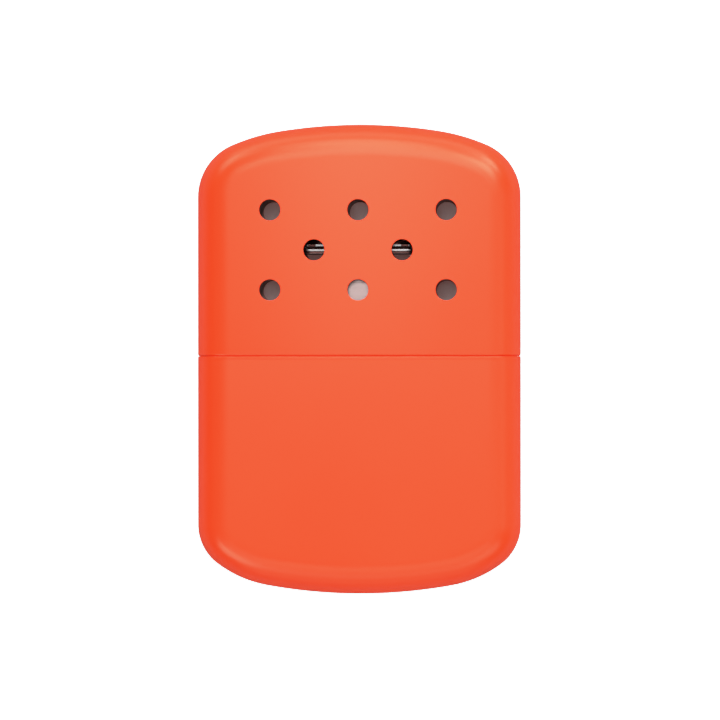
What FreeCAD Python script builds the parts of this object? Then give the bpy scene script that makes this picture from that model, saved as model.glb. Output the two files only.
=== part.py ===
import FreeCAD, Part
import math
import os
import Sketcher
from FreeCAD import Placement, Rotation, Vector

# Catalytic hand warmer: a painted tank and cap that meet at a parting line across the middle, with
# a platinum burner on the fuel neck between them.
#
# Frame: X across the width, Y along the height, Z through the thickness. It lies on its flat back,
# so the back is at Z = 0, the front faces +Z, and X = Y = 0 is the middle of the outline.

# Driving dimensions in millimetres. Each alias is used in expressions as Dims.alias.
dimensions = {
    # the two painted shells
    "shell_width": 67.5,
    "shell_thickness": 14.0,
    "shell_wall": 0.6,
    "side_flat": 2.0,
    "bevel_share": 0.78,  # of the bore's corner radius, taken by the bevels inside the domes
    "lip_break": 0.2,
    "parting_gap": 0.2,
    "cap_height": 48.3,
    "cap_crown_radius": 92.7,
    "cap_corner_radius": 12.7,
    "tank_height": 49.5,
    "tank_crown_radius": 96.1,
    "tank_corner_radius": 13.1,
    # vent holes in rows of three, two and three, through both walls of the cap
    "vent_diameter": 4.2,
    "vent_pitch": 18.3,
    "vent_row_pitch": 8.3,
    "vent_first_row": 13.65,
    # pan that closes the tank and guides the cap
    "collar_clearance": 0.2,
    "collar_height": 8.0,
    "collar_depth": 6.0,
    "collar_wall": 0.5,
    "collar_edge_break": 1.0,
    "dimple_diameter": 3.6,
    "dimple_height": 0.15,
    "dimple_crest": 2.0,
    "dimple_inset": 12.75,
    "dimple_level": 4.6,
    # fuel neck
    "neck_width": 27.0,
    "neck_wall": 0.5,
    "neck_height": 7.0,
    "neck_flange": 1.2,
    "neck_flange_gap": 0.3,
    "neck_flange_thickness": 0.5,
    "braze_gap": 0.05,
    # strip across the neck, felt wick and cotton
    "bridge_width": 3.0,
    "bridge_thickness": 0.3,
    "bridge_bend": 0.6,
    "bridge_arm": 3.2,
    "bridge_recess": 4.6,
    "soft_gap": 0.15,
    "cotton_gap": 0.3,
    # burner skirt
    "burner_seat_gap": 0.1,
    "burner_clearance": 0.1,
    "burner_wall": 0.4,
    "burner_height": 13.85,
    "hem_overhang": 0.3,
    "hem_height": 0.9,
    "window_margin": 0.45,
    "window_height": 3.0,
    "window_inset": 2.6,
    "post_width": 2.4,
    "tongue_width": 3.0,
    "tongue_fold": 1.8,
    "tongue_clearance": 0.1,
    # burner head
    "plate_thickness": 0.4,
    "plate_overhang": 0.6,
    "gauze_thickness": 0.2,
    "gauze_wire": 0.9,
    "gauze_border": 1.0,
    "gauze_columns": 8,
    "gauze_rows": 2,
    "mat_thickness": 0.4,
    "mat_inset": 0.5,
    "crown_end_gap": 1.0,
    "crown_side_inset": 0.5,
    "crown_height": 1.2,
    "crown_wall": 0.3,
    "crown_edge_break": 0.25,
    "slot_width": 1.7,
    "slot_margin": 1.0,
    "slot_end_margin": 0.8,
    "slot_count": 8,
    "notch_inset": 4.95,
    "notch_width": 1.5,
    "notch_depth": 0.9,
}

doc = FreeCAD.newDocument("hand_warmer")
sheet = doc.addObject("Spreadsheet::Sheet", "Dims")
for row, (alias, size) in enumerate(dimensions.items(), start=1):
    sheet.set(f"A{row}", alias)
    sheet.set(f"B{row}", str(size))
    sheet.setAlias(f"B{row}", alias)
doc.recompute()

# Levels along Y, as expressions. The two mouths face each other across the parting gap, and the
# overall height is centred on Y = 0.
tank_mouth = "((Dims.tank_height - Dims.cap_height - Dims.parting_gap) / 2)"
cap_mouth = f"({tank_mouth} + Dims.parting_gap)"
collar_foot = f"({tank_mouth} - Dims.collar_depth)"
collar_top = f"({tank_mouth} + Dims.collar_height)"
collar_underside = f"({collar_top} - Dims.collar_wall)"
neck_foot = f"({collar_underside} - Dims.neck_flange_thickness)"
neck_rim = f"({collar_top} + Dims.neck_height)"
bridge_underside = f"({neck_rim} - Dims.bridge_recess - Dims.bridge_thickness)"
burner_foot = f"({collar_top} + Dims.burner_seat_gap)"
tray_level = f"({burner_foot} + Dims.burner_height)"
gauze_level = f"({tray_level} + Dims.plate_thickness)"
mat_level = f"({gauze_level} + Dims.gauze_thickness)"
cover_level = f"({mat_level} + Dims.mat_thickness)"
cover_top = f"({cover_level} + Dims.plate_thickness)"
middle = "(Dims.shell_thickness / 2)"
mouth_of = {"tank": tank_mouth, "cap": cap_mouth}

# Sizes that follow from what fits in what.
edge_round = "((Dims.shell_thickness - Dims.side_flat) / 2)"
cavity_bevel = f"(Dims.bevel_share * ({edge_round} - Dims.shell_wall))"
collar_inset = "(Dims.shell_wall + Dims.collar_clearance)"
neck_depth = (
    f"(Dims.shell_thickness - 2 * ({collar_inset} + Dims.collar_edge_break"
    " + Dims.neck_flange_gap + Dims.neck_flange))"
)
neck_bore_width = "(Dims.neck_width - 2 * Dims.neck_wall)"
neck_bore_depth = f"({neck_depth} - 2 * Dims.neck_wall)"
skirt_bore_width = "(Dims.neck_width + 2 * Dims.burner_clearance)"
skirt_bore_depth = f"({neck_depth} + 2 * Dims.burner_clearance)"
skirt_width = f"({skirt_bore_width} + 2 * Dims.burner_wall)"
skirt_depth = f"({skirt_bore_depth} + 2 * Dims.burner_wall)"
plate_width = f"({skirt_width} + 2 * Dims.plate_overhang)"
plate_depth = f"({skirt_depth} + 2 * Dims.plate_overhang)"
mat_width = f"({skirt_bore_width} - 2 * Dims.mat_inset)"
mat_depth = f"({skirt_bore_depth} - 2 * Dims.mat_inset)"
crown_width = f"({skirt_width} - 2 * (Dims.tongue_fold + Dims.crown_end_gap))"
crown_depth = f"({skirt_bore_depth} - 2 * Dims.crown_side_inset)"
slot_length = f"({crown_depth} - 2 * Dims.slot_margin)"
slot_pitch = f"(({crown_width} - 2 * Dims.slot_end_margin) / Dims.slot_count)"


def number(expression):
    """The present value of an expression in the sheet's sizes."""
    found = sheet.evalExpression(expression)
    return float(getattr(found, "Value", found))


def new_body(name):
    body = doc.addObject("PartDesign::Body", name)
    body.Label = name
    return body


def new_feature(body, kind, name, **settings):
    """Adds a PartDesign feature. Text settings that name a size are bound as expressions."""
    feature = body.newObject(f"PartDesign::{kind}", name)
    for setting, wanted in settings.items():
        if isinstance(wanted, str) and "Dims." in wanted:
            feature.setExpression(setting, wanted)
        else:
            setattr(feature, setting, wanted)
    doc.recompute()
    return feature


def origin_feature(body, role):
    return next(part for part in body.Origin.OriginFeatures if part.Role == role)


def new_sketch(body, name, plane, **offsets):
    """A sketch on one of the body's own origin planes, moved by expressions for its x, y and z."""
    sketch = body.newObject("Sketcher::SketchObject", name)
    sketch.AttachmentSupport = (origin_feature(body, plane), "")
    sketch.MapMode = "FlatFace"
    for axis, offset in offsets.items():
        sketch.setExpression(f".AttachmentOffset.Base.{axis}", offset)
    return sketch


def level_sketch(body, name, level):
    """A sketch square to Y at a level. Its origin is on the middle plane of the thickness."""
    return new_sketch(body, name, "XZ_Plane", y=middle, z=f"-({level})")


def face_sketch(body, name, level=middle):
    """A sketch square to Z, seen from the front, with the row's own X and Y."""
    return new_sketch(body, name, "XY_Plane", z=level)


def dimension(sketch, kind, *place, size):
    """A driving constraint that follows an expression."""
    start = math.radians(number(size)) if kind == "Angle" else number(size)
    index = sketch.addConstraint(Sketcher.Constraint(kind, *place, start))
    sketch.setExpression(f"Constraints[{index}]", size)


def constrain(sketch, kind, *place):
    sketch.addConstraint(Sketcher.Constraint(kind, *place))


def line(start, end):
    return Part.LineSegment(Vector(*start), Vector(*end))


def arc(centre, radius, start_angle, end_angle):
    """An arc turning left from one angle to another, in degrees."""
    circle = Part.Circle(Vector(*centre), Vector(0, 0, 1), radius)
    return Part.ArcOfCircle(circle, math.radians(start_angle), math.radians(end_angle))


def chain(sketch, curves, sharp=()):
    """Draws a closed run of curves. Joints are smooth except the ones after the sharp curves."""
    first = sketch.GeometryCount
    sketch.addGeometry(curves, False)
    for step in range(len(curves)):
        joint = "Coincident" if step in sharp else "Tangent"
        following = (step + 1) % len(curves)
        constrain(sketch, joint, first + step, 2, first + following, 1)
    return first


def stadium(sketch, width, depth, centre=("0", "0")):
    """A slot shape with half-round ends, lying along the sketch's x axis."""
    x, y = number(centre[0]), number(centre[1])
    radius = number(depth) / 2
    reach = number(width) / 2 - radius
    first = chain(sketch, [
        line((x - reach, y - radius, 0), (x + reach, y - radius, 0)),
        arc((x + reach, y, 0), radius, -90, 90),
        line((x + reach, y + radius, 0), (x - reach, y + radius, 0)),
        arc((x - reach, y, 0), radius, 90, 270),
    ])
    constrain(sketch, "Horizontal", first)
    constrain(sketch, "Equal", first + 1, first + 3)
    dimension(sketch, "Radius", first + 1, size=f"{depth} / 2")
    dimension(sketch, "DistanceX", first + 3, 3, first + 1, 3, size=f"{width} - {depth}")
    dimension(sketch, "DistanceX", first + 3, 3, -1, 1, size=f"({width} - {depth}) / 2 - {centre[0]}")
    dimension(sketch, "DistanceY", -1, 1, first + 1, 3, size=centre[1])
    return first


def rounded_rectangle(sketch, width, depth, corner, centre=("0", "0")):
    """A rectangle with four equal round corners."""
    x, y = number(centre[0]), number(centre[1])
    radius = number(corner)
    across = number(width) / 2
    along = number(depth) / 2
    inner_x, inner_y = across - radius, along - radius
    first = chain(sketch, [
        line((x - inner_x, y - along, 0), (x + inner_x, y - along, 0)),
        arc((x + inner_x, y - inner_y, 0), radius, -90, 0),
        line((x + across, y - inner_y, 0), (x + across, y + inner_y, 0)),
        arc((x + inner_x, y + inner_y, 0), radius, 0, 90),
        line((x + inner_x, y + along, 0), (x - inner_x, y + along, 0)),
        arc((x - inner_x, y + inner_y, 0), radius, 90, 180),
        line((x - across, y + inner_y, 0), (x - across, y - inner_y, 0)),
        arc((x - inner_x, y - inner_y, 0), radius, 180, 270),
    ])
    for side in (0, 4):
        constrain(sketch, "Horizontal", first + side)
        constrain(sketch, "Vertical", first + side + 2)
    for corner_arc in (3, 5, 7):
        constrain(sketch, "Equal", first + 1, first + corner_arc)
    dimension(sketch, "Radius", first + 1, size=corner)
    dimension(sketch, "DistanceX", first + 6, 1, first + 2, 1, size=width)
    dimension(sketch, "DistanceY", first, 1, first + 4, 1, size=depth)
    dimension(sketch, "DistanceX", -1, 1, first + 2, 1, size=f"{width} / 2 + {centre[0]}")
    dimension(sketch, "DistanceY", -1, 1, first + 4, 1, size=f"{depth} / 2 + {centre[1]}")
    return first


def rectangle(sketch, width, depth, centre=("0", "0")):
    x, y = number(centre[0]), number(centre[1])
    across, along = number(width) / 2, number(depth) / 2
    first = chain(sketch, [
        line((x - across, y - along, 0), (x + across, y - along, 0)),
        line((x + across, y - along, 0), (x + across, y + along, 0)),
        line((x + across, y + along, 0), (x - across, y + along, 0)),
        line((x - across, y + along, 0), (x - across, y - along, 0)),
    ], sharp=(0, 1, 2, 3))
    for side in (0, 2):
        constrain(sketch, "Horizontal", first + side)
        constrain(sketch, "Vertical", first + side + 1)
    dimension(sketch, "DistanceX", first, 1, first, 2, size=width)
    dimension(sketch, "DistanceY", first + 1, 1, first + 1, 2, size=depth)
    dimension(sketch, "DistanceX", -1, 1, first, 2, size=f"{width} / 2 + {centre[0]}")
    dimension(sketch, "DistanceY", -1, 1, first + 1, 2, size=f"{depth} / 2 + {centre[1]}")
    return first


def circle(sketch, diameter, centre):
    middle_point = Vector(number(centre[0]), number(centre[1]), 0)
    ring = sketch.addGeometry(Part.Circle(middle_point, Vector(0, 0, 1), number(diameter) / 2), False)
    dimension(sketch, "Diameter", ring, size=diameter)
    dimension(sketch, "DistanceX", -1, 1, ring, 3, size=centre[0])
    dimension(sketch, "DistanceY", -1, 1, ring, 3, size=centre[1])


def side_length(shell):
    """Length of the straight sides, from the mouth to where the corner arcs begin."""
    crown, corner = f"Dims.{shell}_crown_radius", f"Dims.{shell}_corner_radius"
    rise = f"sqrt(({crown} - {corner})^2 - (Dims.shell_width / 2 - {corner})^2)"
    return f"(Dims.{shell}_height - {crown} + {rise})"


def dome_outline(sketch, shell, inset="0", base="0"):
    """Straight sides up from a flat base line, then round corners and a shallow crown."""
    half_width = f"(Dims.shell_width / 2 - {inset})"
    height = f"(Dims.{shell}_height - {inset})"
    crown = f"(Dims.{shell}_crown_radius - {inset})"
    corner = f"(Dims.{shell}_corner_radius - {inset})"
    half, top, crown_radius, corner_radius = map(number, (half_width, height, crown, corner))
    low, corner_y = number(base), number(side_length(shell))
    corner_x = half - corner_radius
    crown_y = top - crown_radius
    crown_turn = math.degrees(math.asin(corner_x / (crown_radius - corner_radius)))
    first = chain(sketch, [
        line((-half, low, 0), (half, low, 0)),
        line((half, low, 0), (half, corner_y, 0)),
        arc((corner_x, corner_y, 0), corner_radius, 0, 90 - crown_turn),
        arc((0, crown_y, 0), crown_radius, 90 - crown_turn, 90 + crown_turn),
        arc((-corner_x, corner_y, 0), corner_radius, 90 + crown_turn, 180),
        line((-half, corner_y, 0), (-half, low, 0)),
    ], sharp=(0, 5))
    bottom, right, right_corner, dome, left_corner, left = range(first, first + 6)
    constrain(sketch, "Horizontal", bottom)
    constrain(sketch, "Vertical", right)
    constrain(sketch, "Vertical", left)
    constrain(sketch, "Equal", right_corner, left_corner)
    constrain(sketch, "PointOnObject", dome, 3, -2)
    dimension(sketch, "Radius", right_corner, size=corner)
    dimension(sketch, "Radius", dome, size=crown)
    dimension(sketch, "DistanceY", dome, 3, -1, 1, size=f"{crown} - {height}")
    dimension(sketch, "DistanceY", -1, 1, bottom, 1, size=base)
    dimension(sketch, "DistanceX", -1, 1, bottom, 2, size=half_width)
    dimension(sketch, "DistanceX", bottom, 1, -1, 1, size=half_width)


def edges_where(feature, wanted):
    """Names of the feature's edges whose bounding box passes a test."""
    return [
        f"Edge{index}"
        for index, edge in enumerate(feature.Shape.Edges, start=1)
        if wanted(edge.BoundBox)
    ]


def faces_where(feature, wanted):
    return [
        f"Face{index}"
        for index, face in enumerate(feature.Shape.Faces, start=1)
        if wanted(face.BoundBox)
    ]


def flat_at(low, high, level, slack=1e-4):
    return abs(low - level) < slack and abs(high - level) < slack


def outline_sketch(body, name, shell, inset="0", base="0"):
    """The shell's outline at its mouth, with the dome pointing away from the other shell."""
    sketch = new_sketch(body, name, "XY_Plane", z=inset)
    turn = 180 if shell == "tank" else 0
    sketch.AttachmentOffset = Placement(Vector(), Rotation(Vector(0, 0, 1), turn))
    sketch.setExpression(".AttachmentOffset.Base.y", mouth_of[shell])
    dome_outline(sketch, shell, inset, base)
    return sketch


def rim_edges(feature, shell, inset, beyond):
    """Edges in the front and back planes of a slab or cavity that reach past a distance from the mouth."""
    low = number(inset)
    high = number("Dims.shell_thickness") - low
    away = -1 if shell == "tank" else 1
    mouth, start = number(mouth_of[shell]), number(beyond)
    return edges_where(feature, lambda box: (
        (flat_at(box.ZMin, box.ZMax, low) or flat_at(box.ZMin, box.ZMax, high))
        and max((box.YMin - mouth) * away, (box.YMax - mouth) * away) > start
    ))


def drawn_shell(body, shell):
    """A deep-drawn half: dome outline, rounded front and back edges, a thin wall, open mouth.

    The bore behind the mouth keeps the round corners that the collar fits. Inside the dome the
    corners are chamfered instead, to a wall that stays near the bore's.
    """
    wall = "Dims.shell_wall"
    side = side_length(shell)
    thickness = "Dims.shell_thickness"
    outline = outline_sketch(body, f"{shell}_outline", shell)
    slab = new_feature(body, "Pad", f"{shell}_slab", Profile=outline, Length=thickness)
    inside = outline_sketch(body, f"{shell}_dome_outline", shell, wall, f"({side} - {wall})")
    dome = new_feature(
        body, "Pocket", f"{shell}_dome", Profile=inside, Length=f"{thickness} - 2 * {wall}",
        Reversed=True,
    )
    eased = new_feature(
        body, "Chamfer", f"{shell}_inside_edges", Size=cavity_bevel,
        Base=(dome, rim_edges(dome, shell, wall, side)),
    )
    section = level_sketch(body, f"{shell}_bore_section", mouth_of[shell])
    rounded_rectangle(
        section, f"(Dims.shell_width - 2 * {wall})", f"({thickness} - 2 * {wall})",
        f"({edge_round} - {wall})",
    )
    hollow = new_feature(
        body, "Pocket", f"{shell}_bore", Profile=section, Length=side, Reversed=(shell == "tank"),
    )
    rounded = new_feature(
        body, "Fillet", f"{shell}_outside_edges", Radius=edge_round,
        Base=(hollow, rim_edges(hollow, shell, "0", "0.01")),
    )
    mouth = number(mouth_of[shell])
    lips = edges_where(rounded, lambda box: flat_at(box.YMin, box.YMax, mouth))
    return new_feature(body, "Chamfer", f"{shell}_lip", Base=(rounded, lips), Size="Dims.lip_break")


def pad_up(body, name, sketch, height):
    """Pads a level sketch towards +Y."""
    return new_feature(body, "Pad", name, Profile=sketch, Length=height, Reversed=True)


def pocket_up(body, name, sketch, height):
    """Cuts from a level sketch towards +Y."""
    return new_feature(body, "Pocket", name, Profile=sketch, Length=height, Reversed=False)


def row_along_x(body, name, feature, pitch, count):
    """Repeats a feature along X. The first one is at the low end of the row."""
    sketch = feature.Profile[0]
    row = new_feature(
        body, "LinearPattern", name, Originals=[feature], Direction=(sketch, ["H_Axis"]),
        Length=f"{pitch} * ({count} - 1)", Occurrences=count,
    )
    body.Tip = row
    return row


def make_tank_shell():
    body = new_body("tank_shell")
    drawn_shell(body, "tank")
    return body


def make_cap_shell():
    """The cap has its vent holes cut through the front and the back wall in one go."""
    body = new_body("cap_shell")
    drawn_shell(body, "cap")
    vents = face_sketch(body, "vent_pattern", "0")
    first_row = f"({cap_mouth} + Dims.vent_first_row)"
    for row_number, columns in enumerate((3, 2, 3)):
        for column in range(columns):
            across = f"{column - (columns - 1) / 2} * Dims.vent_pitch"
            circle(vents, "Dims.vent_diameter", (across, f"{first_row} + {row_number} * Dims.vent_row_pitch"))
    new_feature(body, "Pocket", "vents", Profile=vents, Type="ThroughAll", Reversed=True)
    return body


def make_collar_pan():
    """An inverted drawn pan. Its wall stands out of the tank and guides the cap."""
    body = new_body("collar_pan")
    width = f"(Dims.shell_width - 2 * {collar_inset})"
    depth = f"(Dims.shell_thickness - 2 * {collar_inset})"
    section = level_sketch(body, "collar_section", collar_foot)
    rounded_rectangle(section, width, depth, f"({edge_round} - {collar_inset})")
    block = pad_up(body, "collar_block", section, "Dims.collar_depth + Dims.collar_height")
    top, foot = number(collar_top), number(collar_foot)
    top_edges = edges_where(block, lambda box: flat_at(box.YMin, box.YMax, top))
    eased = new_feature(
        body, "Chamfer", "collar_edge", Base=(block, top_edges), Size="Dims.collar_edge_break",
    )
    open_face = faces_where(eased, lambda box: flat_at(box.YMin, box.YMax, foot))
    new_feature(
        body, "Thickness", "collar_hollow", Base=(eased, open_face), Value="Dims.collar_wall",
        Reversed=True, Mode="Skin", Join="Intersection",
    )
    hole = level_sketch(body, "neck_hole_outline", collar_top)
    stadium(
        hole, "(Dims.neck_width + 2 * Dims.braze_gap)", f"({neck_depth} + 2 * Dims.braze_gap)",
    )
    new_feature(
        body, "Pocket", "neck_hole", Profile=hole, Length="Dims.collar_height", Reversed=True,
    )
    for side in (-1, 1):
        for face in (-1, 1):
            grip_dimple(body, side, face, depth)
    return body


def grip_dimple(body, side, face, collar_depth):
    """A low dimple that bears on the inside of the cap. It is turned about its own axis."""
    name = f"dimple_{'right' if side > 0 else 'left'}_{'front' if face > 0 else 'back'}"
    sketch = level_sketch(body, f"{name}_profile", f"({tank_mouth} + Dims.dimple_level)")
    sketch.setExpression(".AttachmentOffset.Base.x", f"{side} * (Dims.shell_width / 2 - Dims.dimple_inset)")
    sketch.setExpression(
        ".AttachmentOffset.Base.y", f"{middle} + {face} * ({collar_depth} - Dims.collar_wall) / 2"
    )
    reach = number("Dims.dimple_diameter / 2")
    crest = number("Dims.dimple_crest / 2")
    base = face * number("Dims.collar_wall / 2")
    top = face * number("Dims.collar_wall / 2 + Dims.dimple_height")
    corners = [(0, 0, 0), (reach, 0, 0), (reach, base, 0), (crest, top, 0), (0, top, 0)]
    chain(sketch, [line(start, end) for start, end in zip(corners, corners[1:] + corners[:1])],
          sharp=range(5))
    constrain(sketch, "Coincident", 0, 1, -1, 1)
    constrain(sketch, "Horizontal", 0)
    constrain(sketch, "Vertical", 1)
    constrain(sketch, "Horizontal", 3)
    constrain(sketch, "Vertical", 4)
    dimension(sketch, "DistanceX", 0, 1, 0, 2, size="Dims.dimple_diameter / 2")
    dimension(sketch, "DistanceX", 3, 2, 3, 1, size="Dims.dimple_crest / 2")
    dimension(sketch, "Distance", 1, size="Dims.collar_wall / 2")
    dimension(sketch, "Distance", 4, size="Dims.collar_wall / 2 + Dims.dimple_height")
    return new_feature(
        body, "Revolution", name, Profile=sketch, ReferenceAxis=(sketch, ["V_Axis"]), Angle=360.0,
    )


def make_filler_neck():
    """A flanged oval tube, brazed into the pan from below."""
    body = new_body("filler_neck")
    flange = level_sketch(body, "neck_flange_outline", neck_foot)
    stadium(
        flange, "(Dims.neck_width + 2 * Dims.neck_flange)", f"({neck_depth} + 2 * Dims.neck_flange)",
    )
    pad_up(body, "neck_flange_plate", flange, "Dims.neck_flange_thickness")
    tube = level_sketch(body, "neck_tube_outline", neck_foot)
    stadium(tube, "Dims.neck_width", neck_depth)
    pad_up(body, "neck_tube", tube, f"{neck_rim} - {neck_foot}")
    bore = level_sketch(body, "neck_bore_outline", neck_foot)
    stadium(bore, neck_bore_width, neck_bore_depth)
    pocket_up(body, "neck_bore", bore, f"{neck_rim} - {neck_foot}")
    return body


def make_neck_bridge():
    """A strip bent to a U that spans the neck and keeps the wick down."""
    body = new_body("neck_bridge")
    foot = level_sketch(body, "bridge_outline", bridge_underside)
    rectangle(foot, "Dims.bridge_width", f"({neck_bore_depth} - 2 * Dims.braze_gap)")
    block = pad_up(body, "bridge_block", foot, "Dims.bridge_arm")
    low, high = number(bridge_underside), number(f"{bridge_underside} + Dims.bridge_arm")
    half = number("Dims.bridge_width / 2")
    bends = edges_where(block, lambda box: (
        flat_at(box.YMin, box.YMax, low) and flat_at(box.ZMin, box.ZMax, box.ZMin)
    ))
    bent = new_feature(body, "Fillet", "bridge_bends", Base=(block, bends), Radius="Dims.bridge_bend")
    open_faces = faces_where(bent, lambda box: (
        flat_at(box.YMin, box.YMax, high)
        or flat_at(box.XMin, box.XMax, half)
        or flat_at(box.XMin, box.XMax, -half)
    ))
    new_feature(
        body, "Thickness", "bridge_strip", Base=(bent, open_faces), Value="Dims.bridge_thickness",
        Reversed=True, Mode="Skin", Join="Intersection",
    )
    return body


def make_wick_felt():
    body = new_body("wick_felt")
    outline = level_sketch(body, "wick_outline", neck_foot)
    stadium(
        outline, f"({neck_bore_width} - 2 * Dims.soft_gap)", f"({neck_bore_depth} - 2 * Dims.soft_gap)",
    )
    pad_up(body, "wick_pad", outline, f"{bridge_underside} - Dims.soft_gap - {neck_foot}")
    return body


def make_cotton_packing():
    """Cotton that fills the tank, and the pan above it up to the foot of the neck."""
    body = new_body("cotton_packing")
    thickness = "(Dims.shell_thickness - 2 * (Dims.shell_wall + Dims.cotton_gap))"
    start = "(Dims.collar_depth + Dims.cotton_gap)"
    inset = f"(Dims.shell_wall + {cavity_bevel} + Dims.cotton_gap)"
    outline = outline_sketch(body, "cotton_outline", "tank", inset, start)
    outline.setExpression(".AttachmentOffset.Base.z", "Dims.shell_wall + Dims.cotton_gap")
    new_feature(body, "Pad", "cotton_in_tank", Profile=outline, Length=thickness)
    pan_inset = f"({collar_inset} + Dims.collar_wall + Dims.cotton_gap)"
    section = level_sketch(body, "cotton_top_section", f"({tank_mouth} - {start})")
    rounded_rectangle(
        section, f"(Dims.shell_width - 2 * {pan_inset})", f"(Dims.shell_thickness - 2 * {pan_inset})",
        f"({edge_round} - {pan_inset})",
    )
    pad_up(body, "cotton_in_pan", section, f"{neck_foot} - Dims.soft_gap - {tank_mouth} + {start}")
    return body


def make_burner_skirt():
    """The tube that slips over the neck. Its end walls run on as tongues, which pass up through the
    two plates of the burner head and are folded in over them. Windows between its posts let air in."""
    body = new_body("burner_skirt")
    stack = f"({cover_top} - {burner_foot})"
    outline = level_sketch(body, "skirt_outline", burner_foot)
    stadium(outline, skirt_width, skirt_depth)
    pad_up(body, "skirt_block", outline, f"{stack} + Dims.burner_wall")
    bore = level_sketch(body, "skirt_bore_outline", burner_foot)
    stadium(bore, skirt_bore_width, skirt_bore_depth)
    pocket_up(body, "skirt_bore", bore, stack)
    beside = level_sketch(body, "beside_tongues", tray_level)
    strip = f"({skirt_depth} - Dims.tongue_width)"
    for face in (-1, 1):
        rectangle(beside, f"(2 * {skirt_width})", strip, ("0", f"{face} * {skirt_depth} / 2"))
    pocket_up(body, "tongue_sides", beside, f"{stack}")
    between = level_sketch(body, "between_folds", cover_top)
    rectangle(between, f"({skirt_width} - 2 * Dims.tongue_fold)", skirt_depth)
    pocket_up(body, "tongue_folds", between, "2 * Dims.burner_wall")
    windows = face_sketch(body, "window_outlines", "0")
    window_reach = f"({skirt_width} / 2 - Dims.window_inset)"
    window_width = f"({window_reach} - Dims.post_width / 2)"
    window_y = f"({tray_level} - Dims.window_margin - Dims.window_height / 2)"
    for side in (-1, 1):
        window_x = f"{side} * ({window_reach} + Dims.post_width / 2) / 2"
        rectangle(windows, window_width, "Dims.window_height", (window_x, window_y))
    new_feature(body, "Pocket", "windows", Profile=windows, Type="ThroughAll", Reversed=True)
    hem = level_sketch(body, "hem_outline", burner_foot)
    stadium(hem, f"({skirt_width} + 2 * Dims.hem_overhang)", f"({skirt_depth} + 2 * Dims.hem_overhang)")
    stadium(hem, skirt_bore_width, skirt_bore_depth)
    pad_up(body, "hem", hem, "Dims.hem_height")
    return body


def tongue_slots(body, level):
    """Slots at both ends of a plate that the skirt's tongues pass through."""
    end_centre = f"({skirt_bore_width} - {skirt_bore_depth}) / 2"
    tongue_inside = f"({end_centre} + sqrt(({skirt_bore_depth} / 2)^2 - (Dims.tongue_width / 2)^2))"
    slot_inside = f"({tongue_inside} - Dims.tongue_clearance)"
    slot_outside = f"({skirt_width} / 2 + Dims.tongue_clearance)"
    sketch = level_sketch(body, f"{body.Label}_tongue_slots", level)
    for side in (-1, 1):
        rectangle(
            sketch, f"({slot_outside} - {slot_inside})", "(Dims.tongue_width + 2 * Dims.tongue_clearance)",
            (f"{side} * ({slot_outside} + {slot_inside}) / 2", "0"),
        )
    return pocket_up(body, f"{body.Label}_tongue_cuts", sketch, "2 * Dims.plate_thickness")


def slot_row(body, level, height):
    """The row of slots that leaves a grille of bars across the mat."""
    sketch = level_sketch(body, f"{body.Label}_slot", level)
    start = f"({slot_pitch} * (1 - Dims.slot_count) / 2)"
    rectangle(sketch, "Dims.slot_width", slot_length, (start, "0"))
    slot = pocket_up(body, f"{body.Label}_first_slot", sketch, height)
    return row_along_x(body, f"{body.Label}_grille", slot, slot_pitch, "Dims.slot_count")


def make_mat_tray():
    body = new_body("mat_tray")
    outline = level_sketch(body, "tray_outline", tray_level)
    stadium(outline, plate_width, plate_depth)
    pad_up(body, "tray_plate", outline, "Dims.plate_thickness")
    tongue_slots(body, tray_level)
    slot_row(body, tray_level, "2 * Dims.plate_thickness")
    return body


def make_mat_gauze():
    """Wire gauze under the mat, drawn as a plate with a grid of square openings."""
    body = new_body("mat_gauze")
    outline = level_sketch(body, "gauze_outline", gauze_level)
    stadium(outline, mat_width, mat_depth)
    pad_up(body, "gauze_plate", outline, "Dims.gauze_thickness")
    mesh = level_sketch(body, "gauze_first_opening", gauze_level)
    pitch = {
        "H_Axis": f"(({mat_width} - 2 * Dims.gauze_border) / Dims.gauze_columns)",
        "V_Axis": f"(({mat_depth} - 2 * Dims.gauze_border) / Dims.gauze_rows)",
    }
    count = {"H_Axis": "Dims.gauze_columns", "V_Axis": "Dims.gauze_rows"}
    first = [f"({pitch[axis]} * (1 - {count[axis]}) / 2)" for axis in count]
    rectangle(
        mesh, f"({pitch['H_Axis']} - Dims.gauze_wire)", f"({pitch['V_Axis']} - Dims.gauze_wire)", first,
    )
    opening = pocket_up(body, "gauze_opening", mesh, "2 * Dims.gauze_thickness")
    grid = body.newObject("PartDesign::MultiTransform", "gauze_grid")
    grid.Originals = [opening]
    steps = []
    for axis in count:
        step = body.newObject("PartDesign::LinearPattern", f"gauze_{axis}")
        step.Direction = (mesh, [axis])
        step.setExpression("Length", f"{pitch[axis]} * ({count[axis]} - 1)")
        step.setExpression("Occurrences", count[axis])
        steps.append(step)
    grid.Transformations = steps
    body.Tip = grid
    doc.recompute()
    return body


def make_catalyst_mat():
    """Glass-fibre mat, clamped at its edge and crowned up into the cover."""
    body = new_body("catalyst_mat")
    outline = level_sketch(body, "mat_outline", mat_level)
    stadium(outline, mat_width, mat_depth)
    pad_up(body, "mat_sheet", outline, "Dims.mat_thickness")
    crown = level_sketch(body, "mat_crown_outline", cover_level)
    inset = "2 * (Dims.crown_wall + Dims.soft_gap)"
    stadium(crown, f"({crown_width} - {inset})", f"({crown_depth} - {inset})")
    rise = "Dims.plate_thickness + Dims.crown_height - Dims.crown_wall - Dims.soft_gap"
    pad_up(body, "mat_crown", crown, rise)
    return body


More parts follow.
